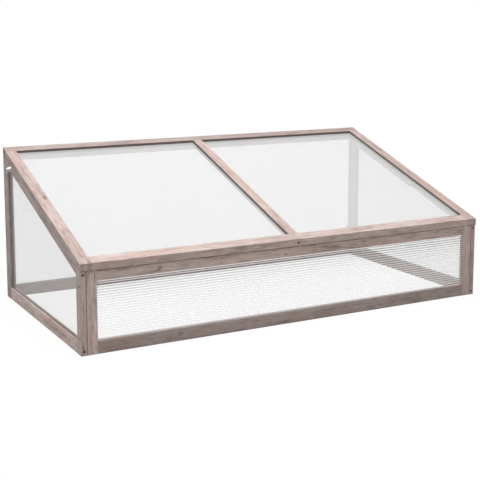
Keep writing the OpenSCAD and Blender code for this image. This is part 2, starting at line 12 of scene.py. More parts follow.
import bpy
import numpy as np
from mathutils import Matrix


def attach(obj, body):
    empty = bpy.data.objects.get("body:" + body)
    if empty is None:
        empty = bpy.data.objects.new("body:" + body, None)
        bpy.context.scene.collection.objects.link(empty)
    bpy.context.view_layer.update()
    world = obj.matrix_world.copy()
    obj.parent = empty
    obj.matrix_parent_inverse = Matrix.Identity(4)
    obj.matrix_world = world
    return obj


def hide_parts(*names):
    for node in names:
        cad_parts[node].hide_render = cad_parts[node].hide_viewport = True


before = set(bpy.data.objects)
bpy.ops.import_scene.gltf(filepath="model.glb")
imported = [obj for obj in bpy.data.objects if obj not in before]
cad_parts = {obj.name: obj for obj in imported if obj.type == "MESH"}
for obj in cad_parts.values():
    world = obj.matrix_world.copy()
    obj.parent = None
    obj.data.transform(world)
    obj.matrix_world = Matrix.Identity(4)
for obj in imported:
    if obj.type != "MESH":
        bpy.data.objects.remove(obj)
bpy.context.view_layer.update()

LOG = logging.getLogger("cold_frame")
IMAGE_SIDE = 480
MM = 0.001
BLOCK_SIDES = 6
MIX_FIRST, MIX_SECOND, MIX_RESULT = 6, 7, 2  # the colour sockets of a Mix node

Number = Union[int, float]
Triple = tuple[float, float, float]
Colour = tuple[float, float, float, float]
Knots = tuple[tuple[float, float, float, float], ...]

WHITE: Colour = (1.0, 1.0, 1.0, 1.0)
BLACK: Colour = (0.0, 0.0, 0.0, 1.0)

FRONT_HEIGHT = 0.1885
BACK_HEIGHT = 0.380
BODY_DEPTH = 0.572
SLOPE = math.atan((BACK_HEIGHT - FRONT_HEIGHT) / BODY_DEPTH)
QUARTER = math.pi / 2


def grey(level: float) -> Colour:
    """Gives a neutral colour."""
    return (level, level, level, 1.0)


# ---------- shader maths ----------


class Shade:
    """A shader socket that takes part in Python expressions."""

    def __init__(self, graph: "Graph", socket: bpy.types.NodeSocket) -> None:
        """Wraps an output socket of a graph's node."""
        self.graph = graph
        self.socket = socket

    def __add__(self, other: "Term") -> "Shade":
        """Adds a number or a value."""
        return self.graph.math("ADD", self, other)

    __radd__ = __add__

    def __sub__(self, other: "Term") -> "Shade":
        """Takes a number or a value away."""
        return self.graph.math("SUBTRACT", self, other)

    def __rsub__(self, other: "Term") -> "Shade":
        """Takes this value away from a number."""
        return self.graph.math("SUBTRACT", other, self)

    def __mul__(self, other: "Term") -> "Shade":
        """Multiplies by a number or a value."""
        return self.graph.math("MULTIPLY", self, other)

    __rmul__ = __mul__

    def __truediv__(self, other: "Term") -> "Shade":
        """Divides by a number or a value."""
        return self.graph.math("DIVIDE", self, other)

    def __pow__(self, other: "Term") -> "Shade":
        """Raises to a power."""
        return self.graph.math("POWER", self, other)

    def __abs__(self) -> "Shade":
        """Gives the size without the sign."""
        return self.graph.math("ABSOLUTE", self)

    def fract(self) -> "Shade":
        """Gives the part after the decimal point."""
        return self.graph.math("FRACT", self)

    def least(self, other: "Term") -> "Shade":
        """Gives the smaller of two values."""
        return self.graph.math("MINIMUM", self, other)

    def step(self, low: Number, high: Number, first: Number = 0.0, last: Number = 1.0) -> "Shade":
        """Runs smoothly from first at low to last at high.

        Args:
            low: the value at which the step starts.
            high: the value at which it ends.
            first: what it gives below low.
            last: what it gives above high.

        Returns:
            The stepped value.
        """
        node = self.graph.add(
            "ShaderNodeMapRange",
            {"interpolation_type": "SMOOTHSTEP"},
            {"Value": self, "From Min": low, "From Max": high, "To Min": first, "To Max": last},
        )
        return Shade(self.graph, node.outputs["Result"])


Term = Union[Shade, Number]


class Graph:
    """A node tree, built by calls."""

    def __init__(self, tree: bpy.types.NodeTree) -> None:
        """Empties a tree, ready to be built.

        Args:
            tree: the tree of a material or of the surround.
        """
        self.nodes = tree.nodes
        self.links = tree.links
        self.nodes.clear()

    def add(
        self, kind: str, settings: Optional[dict] = None, sockets: Optional[dict] = None
    ) -> bpy.types.Node:
        """Adds any node.

        Args:
            kind: the node's type.
            settings: attributes that are set first; "stops" fills a colour ramp.
            sockets: values or links of its inputs, by name or number.

        Returns:
            The new node.
        """
        node = self.nodes.new(kind)
        for key, value in (settings or {}).items():
            if key == "stops":
                self._fill_ramp(node, value)
            else:
                setattr(node, key, value)
        for key, value in (sockets or {}).items():
            self.feed(node.inputs[key], value)
        return node

    @staticmethod
    def _fill_ramp(node: bpy.types.Node, stops: list[tuple[float, Colour]]) -> None:
        """Sets a ramp's stops.

        Args:
            node: the ramp's node.
            stops: each a place from 0 to 1 and a colour.
        """
        elements = node.color_ramp.elements
        while len(elements) < len(stops):
            elements.new(0.5)
        for element, (place, colour) in zip(elements, stops):
            element.position = place
            element.color = colour

    def feed(self, target: bpy.types.NodeSocket, value: object) -> None:
        """Links a Shade to a socket, or sets a constant on it.

        Args:
            target: the input socket.
            value: the Shade, or the constant.
        """
        if isinstance(value, Shade):
            self.links.new(value.socket, target)
        else:
            target.default_value = value

    def math(self, operation: str, *terms: Term) -> Shade:
        """Adds a Math node over its terms."""
        node = self.add("ShaderNodeMath", {"operation": operation}, dict(enumerate(terms)))
        return Shade(self, node.outputs[0])

    def vector(self, operation: str, first: Shade, second: Triple) -> Shade:
        """Adds a Vector Math node of two vectors."""
        node = self.add("ShaderNodeVectorMath", {"operation": operation}, {0: first, 1: second})
        return Shade(self, node.outputs["Vector"])

    def length(self, vector: Shade) -> Shade:
        """Gives a vector's length."""
        node = self.add("ShaderNodeVectorMath", {"operation": "LENGTH"}, {0: vector})
        return Shade(self, node.outputs["Value"])

    def blend(self, factor: Term, first: object, second: object) -> Shade:
        """Mixes two colours.

        Args:
            factor: how much of the second shows.
            first: a colour, or a Shade of one.
            second: a colour, or a Shade of one.

        Returns:
            The mixed colour.
        """
        settings = {"data_type": "RGBA", "blend_type": "MIX"}
        node = self.add("ShaderNodeMix", settings, {0: factor, MIX_FIRST: first, MIX_SECOND: second})
        return Shade(self, node.outputs[MIX_RESULT])

    def ramp(self, value: Shade, stops: list[tuple[float, Colour]]) -> Shade:
        """Looks a value up in a colour ramp."""
        node = self.add("ShaderNodeValToRGB", {"stops": stops}, {"Fac": value})
        return Shade(self, node.outputs["Color"])

    def noise(self, place: Shade, cells: Triple, detail: float, roughness: float) -> Shade:
        """Samples noise at a stretched place.

        Args:
            place: the coordinates, in metres.
            cells: how many cells lie in a metre along each axis.
            detail: how many finer layers are added.
            roughness: how strong the finer layers are.

        Returns:
            A value around 0.5.
        """
        sockets = {
            "Vector": self.vector("MULTIPLY", place, cells),
            "Scale": 1.0,
            "Detail": detail,
            "Roughness": roughness,
        }
        return Shade(self, self.add("ShaderNodeTexNoise", None, sockets).outputs["Fac"])

    def object_place(self, turn: Triple = (0.0, 0.0, 0.0)) -> Shade:
        """Gives Object coordinates, turned about the object's origin.

        Args:
            turn: the turn's Euler angles, X first.

        Returns:
            The turned place, in metres.
        """
        source = Shade(self, self.add("ShaderNodeTexCoord").outputs["Object"])
        node = self.add("ShaderNodeMapping", None, {"Vector": source, "Rotation": turn})
        return Shade(self, node.outputs["Vector"])

    def split(self, vector: Shade) -> tuple[Shade, Shade, Shade]:
        """Gives a vector's three parts."""
        node = self.add("ShaderNodeSeparateXYZ", None, {"Vector": vector})
        return tuple(Shade(self, node.outputs[i]) for i in range(3))

    def seen(self) -> Shade:
        """Tells the rays that show the background, straight, mirrored or through glass.

        Returns:
            1 on such rays, and 0 on the others.
        """
        path = self.add("ShaderNodeLightPath")
        camera, glossy, through = (
            Shade(self, path.outputs[f"Is {word} Ray"])
            for word in ("Camera", "Glossy", "Transmission")
        )
        return (camera + glossy + through).least(1.0)


class Finish(Graph):
    """A material's node tree, with its surface shader."""

    def __init__(self, name: str) -> None:
        """Makes the material.

        Args:
            name: the material's name.
        """
        self.material = bpy.data.materials.new(name)
        self.material.use_nodes = True
        super().__init__(self.material.node_tree)
        self.surface = self.add("ShaderNodeBsdfPrincipled")
        self.bsdf = Shade(self, self.surface.outputs["BSDF"])
        self.output = self.add("ShaderNodeOutputMaterial", None, {"Surface": self.bsdf})

    def bump(self, height: Shade, distance: float, strength: float) -> None:
        """Feeds a Bump node into the surface's normal.

        Args:
            height: the relief, from 0 to 1 or so.
            distance: how many metres a height of 1 stands for.
            strength: how much of the relief shows.
        """
        sockets = {"Height": height, "Distance": distance, "Strength": strength}
        node = self.add("ShaderNodeBump", None, sockets)
        self.links.new(node.outputs["Normal"], self.surface.inputs["Normal"])

    def set(self, **sockets: object) -> None:
        """Sets the surface's sockets; an underscore stands for a space."""
        for key, value in sockets.items():
            self.feed(self.surface.inputs[key.replace("_", " ")], value)


@dataclass(frozen=True)
class Layer:
    """One layer of noise in a material.

    It has so many cells in a metre along each axis. The shift sets it apart from other layers
    at the same place. With marks it is cut to spots, which rise from 0 at the first value to 1
    at the second. The weight is what it adds to the tone, and the height what it adds to the
    relief.
    """

    cells: Triple
    detail: float = 2.0
    roughness: float = 0.5
    shift: Optional[Triple] = None
    marks: Optional[tuple[float, float]] = None
    weight: float = 0.0
    height: float = 0.0

    def on(self, graph: Graph, place: Shade) -> Shade:
        """Samples the layer.

        Args:
            graph: the material's graph.
            place: where, in metres.

        Returns:
            The noise around 0.5, or the spots from 0 to 1.
        """
        if self.shift is not None:
            place = graph.vector("ADD", place, self.shift)
        value = graph.noise(place, self.cells, self.detail, self.roughness)
        return value if self.marks is None else value.step(*self.marks)


# ---------- grain and places ----------


class Grain(Enum):
    """The way that a batten's grain, or a sheet's flutes, run: the turn that lays it along X."""

    LENGTH = (0.0, 0.0, 0.0)
    DEPTH = (0.0, 0.0, -QUARTER)
    UPRIGHT = (0.0, QUARTER, 0.0)
    SLOPING = (-SLOPE, 0.0, -QUARTER)
    LENGTH_ON_SLOPE = (-SLOPE, 0.0, 0.0)

    def matrix(self) -> np.ndarray:
        """Works out the turn about X first, then about Y, then about Z.

        Returns:
            The matrix that lays the grain along X.
        """
        cx, cy, cz = np.cos(self.value)
        sx, sy, sz = np.sin(self.value)
        about_x = np.array([[1, 0, 0], [0, cx, -sx], [0, sx, cx]])
        about_y = np.array([[cy, 0, sy], [0, 1, 0], [-sy, 0, cy]])
        about_z = np.array([[cz, -sz, 0], [sz, cz, 0], [0, 0, 1]])
        return about_z @ about_y @ about_x


def extents(node: str, turn: np.ndarray) -> np.ndarray:
    """Measures a CAD node in a turned frame.

    Args:
        node: the CAD node.
        turn: the matrix that turns the object's frame into the measuring frame.

    Returns:
        Its lowest and highest corners.
    """
    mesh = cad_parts[node].data
    flat = np.empty(len(mesh.vertices) * 3)
    mesh.vertices.foreach_get("co", flat)
    turned = flat.reshape(-1, 3) @ turn.T
    return np.array([turned.min(axis=0), turned.max(axis=0)])


class Stick:
    """A batten in its grain's frame: its corners, and the coordinates of the point shaded."""

    def __init__(self, graph: Graph, node: str, grain: Grain) -> None:
        """Measures the batten.

        Args:
            graph: the node tree that the coordinates are made in.
            node: the batten's CAD node.
            grain: the way that its grain runs.
        """
        self.turn = grain.matrix()
        self.low, self.high = extents(node, self.turn)
        self.place = graph.object_place(grain.value)
        self.parts = graph.split(self.place)

    def over(self, axis: int, height: float = 0.0) -> Shade:
        """Gives the distance over a height above the lower side."""
        return self.parts[axis] - (float(self.low[axis]) + height)

    def under(self, axis: int) -> Shade:
        """Gives the depth below the upper side."""
        return float(self.high[axis]) - self.parts[axis]

    def inside(self, axis: int) -> Shade:
        """Gives the depth below the nearer side."""
        return self.over(axis).least(self.under(axis))

    def from_middle(self, axis: int, offset: float) -> Shade:
        """Gives the distance from a line beside the middle."""
        return self.parts[axis] - float((self.low[axis] + self.high[axis]) / 2 + offset)


# ---------- finishes ----------


@dataclass(frozen=True)
class ShadeStrip:
    """A strip of painted shade along one side of a batten, where other pieces meet it: battens,
    panes, the lid above, the ground below.

    The axis is 1 or 2 in the grain's frame, and the side is 0 for the lower one and 1 for the
    upper. The strip fades from its strength at the start to nothing at the end, both depths
    below the side. With a middle it also keeps to that height over the batten's lower side, on
    the other axis.
    """

    axis: int
    side: int
    start: float
    end: float
    strength: float
    middle: Optional[float] = None


@dataclass(frozen=True)
class StainedTimber:
    """Planed fir with a thin grey-brown stain that lets the grain through."""

    deep: Colour = (0.190, 0.135, 0.118, 1.0)
    middle: Colour = (0.425, 0.325, 0.290, 1.0)
    pale: Colour = (0.595, 0.482, 0.450, 1.0)
    knot: Colour = (0.105, 0.066, 0.052, 1.0)
    warm: Colour = (0.520, 0.330, 0.275, 1.0)
    # Dark end grain; the same colour lays the strips of painted shade.
    joint: Colour = (0.085, 0.062, 0.054, 1.0)
    stops: Triple = (0.06, 0.48, 0.98)
    mean_tone: float = 0.64
    cast_spread: float = 0.05

    ring_pitch: float = 3.4 * MM
    ring_sharpness: float = 2.6
    ring_weight: float = -0.18
    ring_height: float = 0.4
    pith_away: float = 34.0 * MM
    pith_tilt: float = 0.012
    wander: float = 13.0 * MM
    offsets: tuple[float, float] = (3.0, 30.0)

    drift_across: Layer = Layer((2.3, 9.0, 9.0))
    drift_over: Layer = Layer((1.7, 7.0, 7.0), detail=1.0, shift=(5.0, 5.0, 5.0))
    fibre: Layer = Layer((32.0, 420.0, 420.0), detail=3.0, roughness=0.7, weight=1.35, height=0.6)
    streak: Layer = Layer((8.0, 150.0, 150.0), marks=(0.54, 0.72), weight=-0.20, height=-0.3)
    pore: Layer = Layer(
        (55.0, 1500.0, 1500.0), detail=1.0, marks=(0.60, 0.72), weight=-0.16, height=-0.5
    )
    blotch: Layer = Layer((5.0, 26.0, 26.0), detail=3.0, roughness=0.6, weight=1.05)
    mottle: Layer = Layer(
        (30.0, 130.0, 130.0), detail=3.0, roughness=0.65, shift=(3.0, 8.0, 5.0), weight=1.2
    )
    blush: Layer = Layer((9.0, 55.0, 55.0), detail=3.0, shift=(9.0, 2.0, 7.0), marks=(0.44, 0.66))
    blush_share: float = 0.38

    wear_reach: tuple[float, float] = (0.4 * MM, 1.6 * MM)
    wear_share: float = 0.22
    end_skin: float = 0.9 * MM
    end_share: float = 0.75
    # How far the painted shade of a pane's groove spreads from the groove's line.
    shade_strip_reach: tuple[float, float] = (2.3 * MM, 3.6 * MM)

    knot_stretch: Triple = (0.62, 1.0, 1.0)
    knot_ragged: float = 2.2
    knot_reach: tuple[float, float] = (0.20, 1.35)
    knot_share: float = 0.70

    roughness: float = 0.68
    gloss_of_tone: float = -0.22
    specular: float = 0.65
    relief: float = 0.30 * MM
    relief_strength: float = 0.5

    def material(
        self, node: str, grain: Grain, seed: int, knots: Knots, shade_strips: tuple[ShadeStrip, ...], tone_and_painted_light: float
    ) -> bpy.types.Material:
        """Makes the stain for one batten, with its own run of grain.

        Args:
            node: the batten's CAD node.
            grain: the way that its grain runs.
            seed: sets its grain apart from the other battens'.
            knots: the knots' centres and radii, in metres.
            shade_strips: painted shade along the sides that other pieces, panes, the lid and the
                ground meet.
            tone_and_painted_light: how pale this batten shows, 1 being middling; partly how it took
                the stain, partly painted light and shade for how light falls on it.

        Returns:
            The material.
        """
        graph = Finish(f"stain_{node}")
        stick = Stick(graph, node, grain)
        rng = np.random.default_rng(seed)
        own = graph.vector("ADD", stick.place, tuple(map(float, rng.uniform(*self.offsets, 3))))
        ring = self._rings(graph, stick, own, rng)
        cast = float(rng.uniform(-self.cast_spread, self.cast_spread))
        fibre, streak, pore, blotch, mottle, blush = (
            layer.on(graph, own)
            for layer in (self.fibre, self.streak, self.pore, self.blotch, self.mottle, self.blush)
        )
        tone = (
            (blotch - 0.5) * self.blotch.weight
            + (fibre - 0.5) * self.fibre.weight
            + (mottle - 0.5) * self.mottle.weight
            + ring * self.ring_weight
            + streak * self.streak.weight
            + pore * self.pore.weight
            + (self.mean_tone + cast)
        )
        colour = graph.ramp(tone, list(zip(self.stops, (self.deep, self.middle, self.pale))))
        colour = graph.blend(blush * self.blush_share, colour, self.warm)
        wear = (stick.inside(1) + stick.inside(2)).step(*self.wear_reach, self.wear_share, 0.0)
        colour = graph.blend(wear * (blotch + 0.5), colour, self.pale)
        # Scales the colour: partly the batten's own tone, partly painted light and shade.
        colour = graph.vector("MULTIPLY", colour, (tone_and_painted_light, tone_and_painted_light, tone_and_painted_light))
        end = stick.inside(0).step(0.0, self.end_skin, self.end_share, 0.0)
        colour = graph.blend(end, colour, self.joint)
        # Painted shade strips along the sides where other parts meet the batten.
        for shade_strip in shade_strips:
            colour = graph.blend(self._painted_shade(stick, shade_strip), colour, self.joint)
        if knots:
            colour = graph.blend(self._scars(graph, stick, knots, mottle), colour, self.knot)
        graph.set(Base_Color=colour, Roughness=tone * self.gloss_of_tone + self.roughness)
        graph.set(Specular_IOR_Level=self.specular)
        height = (
            fibre * self.fibre.height
            + ring * self.ring_height
            + streak * self.streak.height
            + pore * self.pore.height
        )
        graph.bump(height, self.relief, self.relief_strength)
        return graph.material

    def _rings(self, graph: Graph, stick: Stick, own: Shade, rng: np.random.Generator) -> Shade:
        """Works out the year rings, circles about a pith line that wanders beside the batten.

        Args:
            graph: the material's graph.
            stick: the batten.
            own: the batten's own place in the noise.
            rng: draws the pith's side and its tilt.

        Returns:
            0 in the early wood of each ring, rising to 1 at its edge.
        """
        side = rng.uniform(0.0, 2.0 * math.pi)
        tilt = float(rng.uniform(-self.pith_tilt, self.pith_tilt))
        drift_across = (self.drift_across.on(graph, own) - 0.5) * self.wander
        drift_over = (self.drift_over.on(graph, own) - 0.5) * self.wander
        across = stick.from_middle(1, self.pith_away * math.cos(side)) + drift_across
        across = across + stick.parts[0] * tilt
        over = stick.from_middle(2, self.pith_away * math.sin(side)) + drift_over
        radius = graph.math("SQRT", across * across + over * over)
        return (radius / self.ring_pitch).fract() ** self.ring_sharpness

    def _painted_shade(self, stick: Stick, shade_strip: ShadeStrip) -> Shade:
        """Works out how much painted shade a strip lays on the batten.

        Args:
            stick: the batten.
            shade_strip: the strip of painted shade along one of its sides.

        Returns:
            The share of the dark end-grain colour that it lays on as painted shade.
        """
        depth = stick.under(shade_strip.axis) if shade_strip.side else stick.over(shade_strip.axis)
        strip = depth.step(shade_strip.start, shade_strip.end, shade_strip.strength, 0.0)
        if shade_strip.middle is None:
            return strip
        return strip * abs(stick.over(3 - shade_strip.axis, shade_strip.middle)).step(*self.shade_strip_reach, 1.0, 0.0)

    def _scars(self, graph: Graph, stick: Stick, knots: Knots, mottle: Shade) -> Shade:
        """Works out the knots, each drawn out along the grain and ragged at its edge.

        Args:
            graph: the material's graph.
            stick: the batten.
            knots: the knots' centres and radii, at least one.
            mottle: the noise that makes their edges ragged.

        Returns:
            The knot colour's share.
        """
        scar: Optional[Shade] = None
        for *centre, size in knots:
            turned = tuple(map(float, stick.turn @ np.array(centre)))
            away = graph.vector("SUBTRACT", stick.place, turned)
            reach = graph.length(graph.vector("MULTIPLY", away, self.knot_stretch))
            reach = reach + (mottle - 0.5) * (size * self.knot_ragged)
            inner, outer = (size * share for share in self.knot_reach)
            mark = reach.step(inner, outer, self.knot_share, 0.0)
            scar = mark if scar is None else graph.math("MAXIMUM", scar, mark)
        return scar


@dataclass(frozen=True)
class Webs:
    """Where one pane's webs lie: the axis across them, the first web, the far edge, the pitch."""

    axis: int
    first: float
    last: float
    pitch: float


@dataclass(frozen=True)
class Glazing:
    """How one pane shows.

    Near and far are the strengths of the dark lines over the webs, next to the far edge and
    away from it; the near lines are painted shade for the rail seen through the flutes, and the
    far lines darken as painted shade towards the far edge. Skin is how opaque the skins are, and
    veil what the flutes' middles add to it. Glow is painted glow, emitted light that stands in
    for the light that the skins pass on, and the flute highlight is the painted highlight that
    the flutes' middles add to it. The lip highlight is how opaque the painted white highlight
    line at the far edge is, and tint the colour between the lines.
    """

    skin: float
    near: float = 0.0
    far: float = 0.0
    veil: float = 0.0
    glow: float = 0.07
    flute_highlight: float = 0.0
    lip_highlight: float = 0.0
    tint: Colour = grey(0.95)


@dataclass(frozen=True)
class TwinWallSheet:
    """Clear twin-wall sheet: a milky, glossy skin with a painted glow, a painted white highlight at
    the far edge, and a thin dark line over each web that is darker near that edge as painted shade.
    """

    # Colour of the dark lines: web lines, with painted shade near the far edge.
    shade: Colour = (0.17, 0.15, 0.145, 1.0)
    web_tint: Colour = (0.93, 0.94, 0.95, 1.0)
    web_dull: Colour = (0.86, 0.86, 0.87, 1.0)
    refraction: float = 1.58
    dust: float = 0.02
    web_alpha: float = 0.05

    line_edge: tuple[float, float] = (0.04, 0.26)
    flute_edge: tuple[float, float] = (0.20, 0.42)
    # Painted shade lines below the far edge, for the dark rail seen through the flutes.
    near_shade_band: tuple[float, float] = (8.0 * MM, 62.0 * MM)
    # Painted highlight: a white line just below the far edge.
    lip_highlight: tuple[float, float] = (7.6 * MM, 9.4 * MM)
    # The lines fade from painted shade near the far edge to plain web lines.
    fade: tuple[float, float] = (20.0 * MM, 115.0 * MM)
    faded: float = 0.2
    full_line: float = 0.08

    cloud: Layer = Layer((5.0, 9.0, 9.0))
    web_cloud: Layer = Layer((5.0, 60.0, 60.0))
    skin_roughness: float = 0.06
    web_roughness: float = 0.10
    roughness_spread: float = 0.10
    relief: float = 0.4 * MM
    relief_strength: float = 0.12

    def material(self, name: str, grain: Grain, webs: Webs, look: Glazing) -> bpy.types.Material:
        """Makes the skin, with its lines along the flutes, its painted shade, its painted glow and
        its painted highlights.

        Across a flute the wave runs from 0 over a web to 0.5 at the flute's middle.

        Args:
            name: the pane's name.
            grain: the way that its flutes run.
            webs: where the webs lie.
            look: how the pane shows.

        Returns:
            The material.
        """
        graph = Finish(f"sheet_{name}")
        place = graph.object_place(grain.value)
        across = graph.split(place)[webs.axis]
        wave = abs(((across - webs.first) / webs.pitch + 0.5).fract() - 0.5)
        web = wave.step(*self.line_edge, 1.0, 0.0)
        middle = wave.step(*self.flute_edge)
        depth = webs.last - across
        # Painted shade: dark lines in a band below the far edge, for the rail seen through the
        # flutes.
        near = depth.step(*self.near_shade_band, 1.0, 0.0)
        # Web lines, darker towards the far edge as painted shade.
        far = depth.step(*self.fade, look.far, look.far * self.faded)
        # Painted highlight: a glowing white line just below the far edge.
        lip_highlight = depth.step(*self.lip_highlight, look.lip_highlight, 0.0)
        line = (near * near * look.near + far) * (1.0 - lip_highlight)
        dark = web * line.step(0.0, self.full_line)
        cloud = self.cloud.on(graph, place)
        alpha = web * line + middle * look.veil + lip_highlight + (cloud - 0.5) * self.dust + look.skin
        # Painted glow: emitted light standing in for light passed through the sheet, with painted
        # highlights in the flutes' middles.
        glow = graph.blend(middle, grey(look.glow), grey(look.glow + look.flute_highlight))
        painted_glow_colour = graph.blend(lip_highlight, glow, look.tint)
        # The dark lines take the shade colour: web lines with painted shade.
        graph.set(Base_Color=graph.blend(dark, look.tint, self.shade), Alpha=alpha)
        graph.set(Emission_Color=graph.blend(dark, painted_glow_colour, BLACK), Emission_Strength=1.0)
        graph.set(Roughness=cloud * self.roughness_spread + self.skin_roughness)
        graph.set(IOR=self.refraction)
        graph.bump(cloud, self.relief, self.relief_strength)
        return graph.material

    def web_material(self, name: str, grain: Grain) -> bpy.types.Material:
        """Makes the webs between the skins, which hardly show except edge on.

        Args:
            name: the pane's name.
            grain: the way that its flutes run.

        Returns:
            The material.
        """
        graph = Finish(f"webs_{name}")
        cloud = self.web_cloud.on(graph, graph.object_place(grain.value))
        graph.set(Base_Color=graph.blend(cloud, self.web_tint, self.web_dull), IOR=self.refraction)
        graph.set(Roughness=cloud * self.roughness_spread + self.web_roughness)
        graph.set(Alpha=cloud * self.web_alpha + self.web_alpha / 2)
        return graph.material


@dataclass(frozen=True)
class PlatedSteel:
    """Zinc-plated steel, or a dark steel that paints the shade of the timber screws' countersinks,
    with fine scratches and dull spots.
    """

    name: str
    base: Colour
    dull: Colour
    roughness: float
    cloud: Layer = Layer((210.0, 210.0, 210.0), detail=3.0, height=0.5)
    scratch: Layer = Layer((160.0, 2600.0, 2600.0), marks=(0.55, 0.7), height=0.5)
    spots: tuple[float, float] = (0.46, 0.66)
    spot_roughness: float = 0.2
    scratch_roughness: float = 0.12
    relief: float = 0.05 * MM
    relief_strength: float = 0.4

    def material(self) -> bpy.types.Material:
        """Makes the metal.

        Returns:
            The material.
        """
        graph = Finish(self.name)
        place = graph.object_place()
        cloud = self.cloud.on(graph, place)
        scratch = self.scratch.on(graph, place)
        spot = cloud.step(*self.spots)
        rough = spot * self.spot_roughness + scratch * self.scratch_roughness + self.roughness
        graph.set(Base_Color=graph.blend(spot, self.base, self.dull), Metallic=1.0)
        graph.set(Roughness=rough)
        height = cloud * self.cloud.height + scratch * self.scratch.height
        graph.bump(height, self.relief, self.relief_strength)
        return graph.material


TIMBER = StainedTimber()
SHEET = TwinWallSheet()
ZINC = PlatedSteel("zinc_plate", base=(0.66, 0.66, 0.67, 1.0), dull=grey(0.50), roughness=0.26)
# The timber screws' dark colour is painted shade, for the shade in their countersinks.
DARK_SCREW_STEEL = PlatedSteel(
    "dark_screw_steel",
    base=(0.16, 0.13, 0.115, 1.0),
    dull=(0.09, 0.07, 0.06, 1.0),
    roughness=0.42,
)


def dress(node: str, material: bpy.types.Material) -> None:
    """Gives a carried-over CAD node one material in place of its plain one.

    Args:
        node: the CAD node.
        material: its finish.
    """
    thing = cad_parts[node]
    thing.data.materials.clear()
    thing.data.materials.append(material)
    LOG.info("dressed %s in %s", node, material.name)


# ---------- panes ----------


class Blocks:
    """Six-sided blocks, gathered into one mesh.

    A block's corners are numbered 0 to 7, and the three bits of a corner's number say which
    of its values are high.
    """

    BITS = np.array([[i & 1, i >> 1 & 1, i >> 2 & 1] for i in range(8)])
    SIDES = np.array(
        [[0, 4, 6, 2], [1, 3, 7, 5], [0, 1, 5, 4], [2, 6, 7, 3], [0, 2, 3, 1], [4, 5, 7, 6]]
    )

    def __init__(self) -> None:
        """Starts with nothing gathered."""
        self.points: list[np.ndarray] = []
        self.faces: list[np.ndarray] = []
        self.count = 0

    @classmethod
    def corners(cls, low: np.ndarray, high: np.ndarray) -> np.ndarray:
        """Gives the blocks' corners from their lowest and highest, one block in each row."""
        return low[:, None, :] * (1 - cls.BITS) + high[:, None, :] * cls.BITS

    def gather(self, corners: np.ndarray, turn: np.ndarray) -> None:
        """Gathers blocks.

        Args:
            corners: eight corners for each block, in a turned frame.
            turn: the matrix from the object's frame to the turned one.
        """
        start = np.arange(len(corners))[:, None, None] * len(self.BITS) + self.count
        self.faces.append((self.SIDES[None] + start).reshape(-1, 4))
        self.points.append(corners.reshape(-1, 3) @ turn)
        self.count += len(corners) * len(self.BITS)

    def piece(self, name: str, body: str) -> bpy.types.Object:
        """Makes the object and sets it on its body.

        Args:
            name: the piece's name.
            body: the CAD body that it rides on.

        Returns:
            The object.
        """
        points, faces = (np.concatenate(rows).tolist() for rows in (self.points, self.faces))
        mesh = bpy.data.meshes.new(name)
        mesh.from_pydata(points, [], faces)
        mesh.validate()
        mesh.polygons.foreach_set("use_smooth", np.full(len(mesh.polygons), False))
        thing = bpy.data.objects.new(name, mesh)
        bpy.context.scene.collection.objects.link(thing)
        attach(thing, body)
        LOG.info("built %s on %s: %d faces", name, body, len(mesh.polygons))
        return thing


